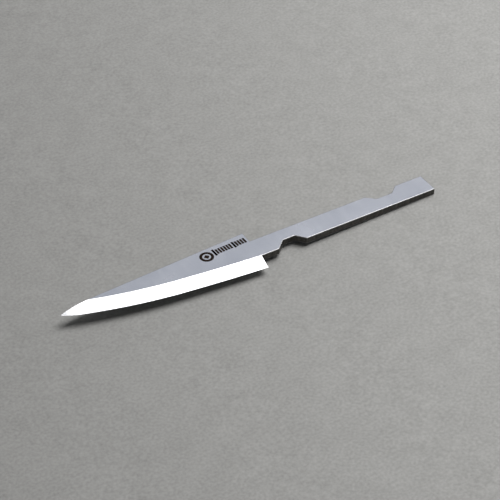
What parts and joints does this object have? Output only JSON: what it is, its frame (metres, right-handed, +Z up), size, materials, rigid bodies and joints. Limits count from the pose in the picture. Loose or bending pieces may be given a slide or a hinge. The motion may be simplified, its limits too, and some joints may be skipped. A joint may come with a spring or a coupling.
{
  "type": "knife blade blank",
  "caption": "Straight-spined knife blade with a full-length ground bevel and a flat notched tang, one piece of steel for setting in a handle.",
  "frame": {"origin": "under the middle of the outline, on the face that it lies on", "axes": "+X along the tang, away from the point; +Y towards the spine; +Z up through the thickness"},
  "size_m": [0.16, 0.021, 0.0027],
  "materials": {
    "ground_steel": "flats fine ground to a satin, bevels polished, edges of the outline raw and darker"
  },
  "bodies": {
    "root": {"blade_blank": "ground_steel"}
  },
  "joints": []
}
